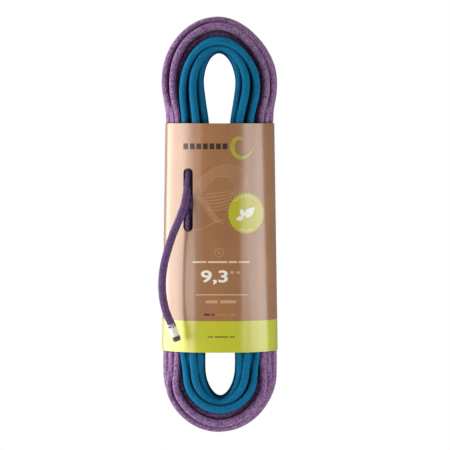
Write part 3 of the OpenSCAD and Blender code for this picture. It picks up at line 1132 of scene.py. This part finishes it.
for piece, *look in (
        (art, "ink_line_art", srgb(208, 160, 118)),
        (title, "ink_title", srgb(52, 26, 10), 0.6, 0.35),
        (crescent, "ink_crescent", srgb(180, 176, 30)),
        (faint, "ink_faint", srgb(208, 166, 128)),
        (white, "ink_white", srgb(255, 250, 238), 0.5, 1.0, 0.03),
        (rule, "ink_rule", srgb(248, 212, 176)),
        (dark, "ink_dark", srgb(80, 44, 24), 0.5, 0.5),
        (orange, "ink_orange", srgb(206, 128, 30)),
        (footer, "ink_footer", srgb(140, 140, 20)),
        (seal, "seal_lime", srgb(200, 192, 4)),
        (leaves, "seal_white", srgb(244, 246, 236)),
        (marks, "seal_pale", srgb(222, 226, 130))):
    paint(piece, ink(*look))


def marker_material():
    """Woven marker: dark yarns with white flecks in a checked lay."""
    g = Graph("woven_marker")
    length, share = g.lay()
    a = g.math("FLOOR", g.mul(share, 18.0))
    b = g.math("FLOOR", g.mul(length, 1 / 0.0016))
    chess = g.math("FLOORED_MODULO", g.add(a, b), 2.0)
    pick = g.white(g.add(g.mul(a, 7.3), b))
    on = g.mul(g.math("GREATER_THAN", chess, 0.5), g.math("GREATER_THAN", pick, 0.3))
    colour = g.mix(on, rgba(12, 10, 16), rgba(226, 224, 224))
    g.set(Base_Color=colour, Roughness=0.6, Sheen_Weight=0.2)
    g.bump(g.math("SINE", g.mul(length, 5000.0)), 0.05 * MM, 0.5)
    return g.mat


def label_material():
    """Paper with lines of dashes in place of small print."""
    g = Graph("label_paper")
    length, share = g.lay()
    grain = g.noise(g.place(), 1800.0, 3.0, 0.6)
    wave = g.math("SINE", g.mul(length, 2 * math.pi / 0.0022))
    line = g.math("GREATER_THAN", wave, 0.86)
    word = g.math("GREATER_THAN", g.white(g.math("FLOOR", g.mul(share, 34.0))), 0.42)
    on = g.mul(g.mul(line, word), 0.55)
    colour = g.mix(on, rgba(240, 239, 236), rgba(96, 96, 104))
    g.set(Base_Color=colour, Roughness=g.remap(grain, 0.3, 0.7, 0.4, 0.5))
    g.bump(grain, 0.02 * MM, 0.3)
    return g.mat


def film_material():
    """Clear, faintly uneven shrink tube."""
    g = Graph("clear_shrink")
    waves = g.noise(g.place(), 420.0, 2.0, 0.5)
    g.set(Base_Color=rgba(248, 250, 255), Roughness=0.08, IOR=1.45, Transmission_Weight=0.0,
          Alpha=0.04, Coat_Weight=0.6, Coat_Roughness=0.08)
    g.bump(waves, 0.15 * MM, 0.5)
    return g.mat


def tip_material():
    """Melted and set sheath."""
    g = Graph("fused_sheath")
    lumps = g.noise(g.place(), 900.0, 4.0, 0.6)
    colour = g.mix(g.remap(lumps, 0.4, 0.7), rgba(7, 6, 9), rgba(20, 16, 25))
    g.set(Base_Color=colour, Roughness=g.remap(lumps, 0.3, 0.7, 0.36, 0.55),
          Specular_IOR_Level=0.3)
    g.bump(lumps, 0.35 * MM, 0.8)
    return g.mat


fit_mats = [marker_material(), label_material(), film_material(), tip_material()]
for fittings in (tail_fittings, blue_fittings):
    for ob, m in zip(fittings, fit_mats):
        paint(ob, m)

glue = Graph("dried_glue")
wet = glue.noise(glue.place(), 300.0, 3.0, 0.5)
glue.set(Base_Color=glue.mix(wet, rgba(232, 220, 176), rgba(206, 190, 140)), Roughness=0.35)
glue.bump(wet, 0.2 * MM, 0.6)
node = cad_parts["seam_glue"]
if not node.data.materials:
    node.data.materials.append(glue.mat)
for i in range(len(node.material_slots)):
    node.material_slots[i].material = glue.mat

# ------------------------------------------------------------------ floor, world, lights
FLOOR_Z = -0.70
bm = bmesh.new()
bmesh.ops.create_circle(bm, cap_ends=True, segments=96, radius=1.9)
floor_mesh = bpy.data.meshes.new("floor")
bm.to_mesh(floor_mesh)
bm.free()
floor = bpy.data.objects.new("floor", floor_mesh)
floor.location = (0, 0, FLOOR_Z)
scene.collection.objects.link(floor)
pale = Graph("pale_floor")
pale.set(Base_Color=(0.82, 0.82, 0.82, 1), Roughness=0.8)
paint(floor, pale.mat)

world = bpy.data.worlds.new("studio")
scene.world = world
world.use_nodes = True
wn = world.node_tree
sky = wn.nodes["Background"]
sky.inputs["Color"].default_value = (1, 1, 1, 1)
sky.inputs["Strength"].default_value = 0.2
seen = wn.nodes.new("ShaderNodeBackground")
seen.inputs["Color"].default_value = (1, 1, 1, 1)
seen.inputs["Strength"].default_value = 1.0
ray = wn.nodes.new("ShaderNodeLightPath")
choose = wn.nodes.new("ShaderNodeMixShader")
wn.links.new(ray.outputs["Is Camera Ray"], choose.inputs[0])
wn.links.new(sky.outputs[0], choose.inputs[1])
wn.links.new(seen.outputs[0], choose.inputs[2])
wn.links.new(choose.outputs[0], wn.nodes["World Output"].inputs[0])


def soft_box(name, at, toward, width, height, radiance):
    """A rectangular light of that brightness, as wide and high as given, aimed at a point."""
    data = bpy.data.lights.new(name, "AREA")
    data.shape = "RECTANGLE"
    data.size, data.size_y = width, height
    data.energy = radiance * math.pi * width * height
    ob = bpy.data.objects.new(name, data)
    ob.location = at
    ob.rotation_euler = (Vector(toward) - Vector(at)).to_track_quat("-Z", "Y").to_euler()
    scene.collection.objects.link(ob)


for row in (
        ("left_box", (-1.5, -0.45, -0.28), (0, -0.45, -0.28), 1.28, 0.66, 5.0),
        ("left_front_box", (-1.5, -1.46, -0.32), (0, -1.46, -0.32), 0.74, 0.5, 2.4),
        ("left_low_box", (-1.48, -1.44, -0.46), (0, -1.44, -0.46), 0.70, 0.3, 2.6),
        ("left_far_box", (-1.5, -2.16, -0.32), (0, -2.16, -0.32), 0.66, 0.5, 1.1),
        ("left_back_box", (-1.5, 1.09, -0.28), (0, 1.09, -0.28), 1.8, 0.66, 3.8),
        ("left_high_box", (-1.5, -0.2, 0.62), (0, 0, -0.15), 1.4, 0.7, 5.0),
        ("right_box", (1.5, -0.88, -0.28), (0, -0.88, -0.28), 1.95, 0.56, 4.2),
        ("top_box", (0.0, 0.3, 1.8), (0, 0, -0.2), 2.0, 1.2, 1.6)):
    soft_box(*row)

scene.view_settings.view_transform = "Standard"
scene.view_settings.look = "None"
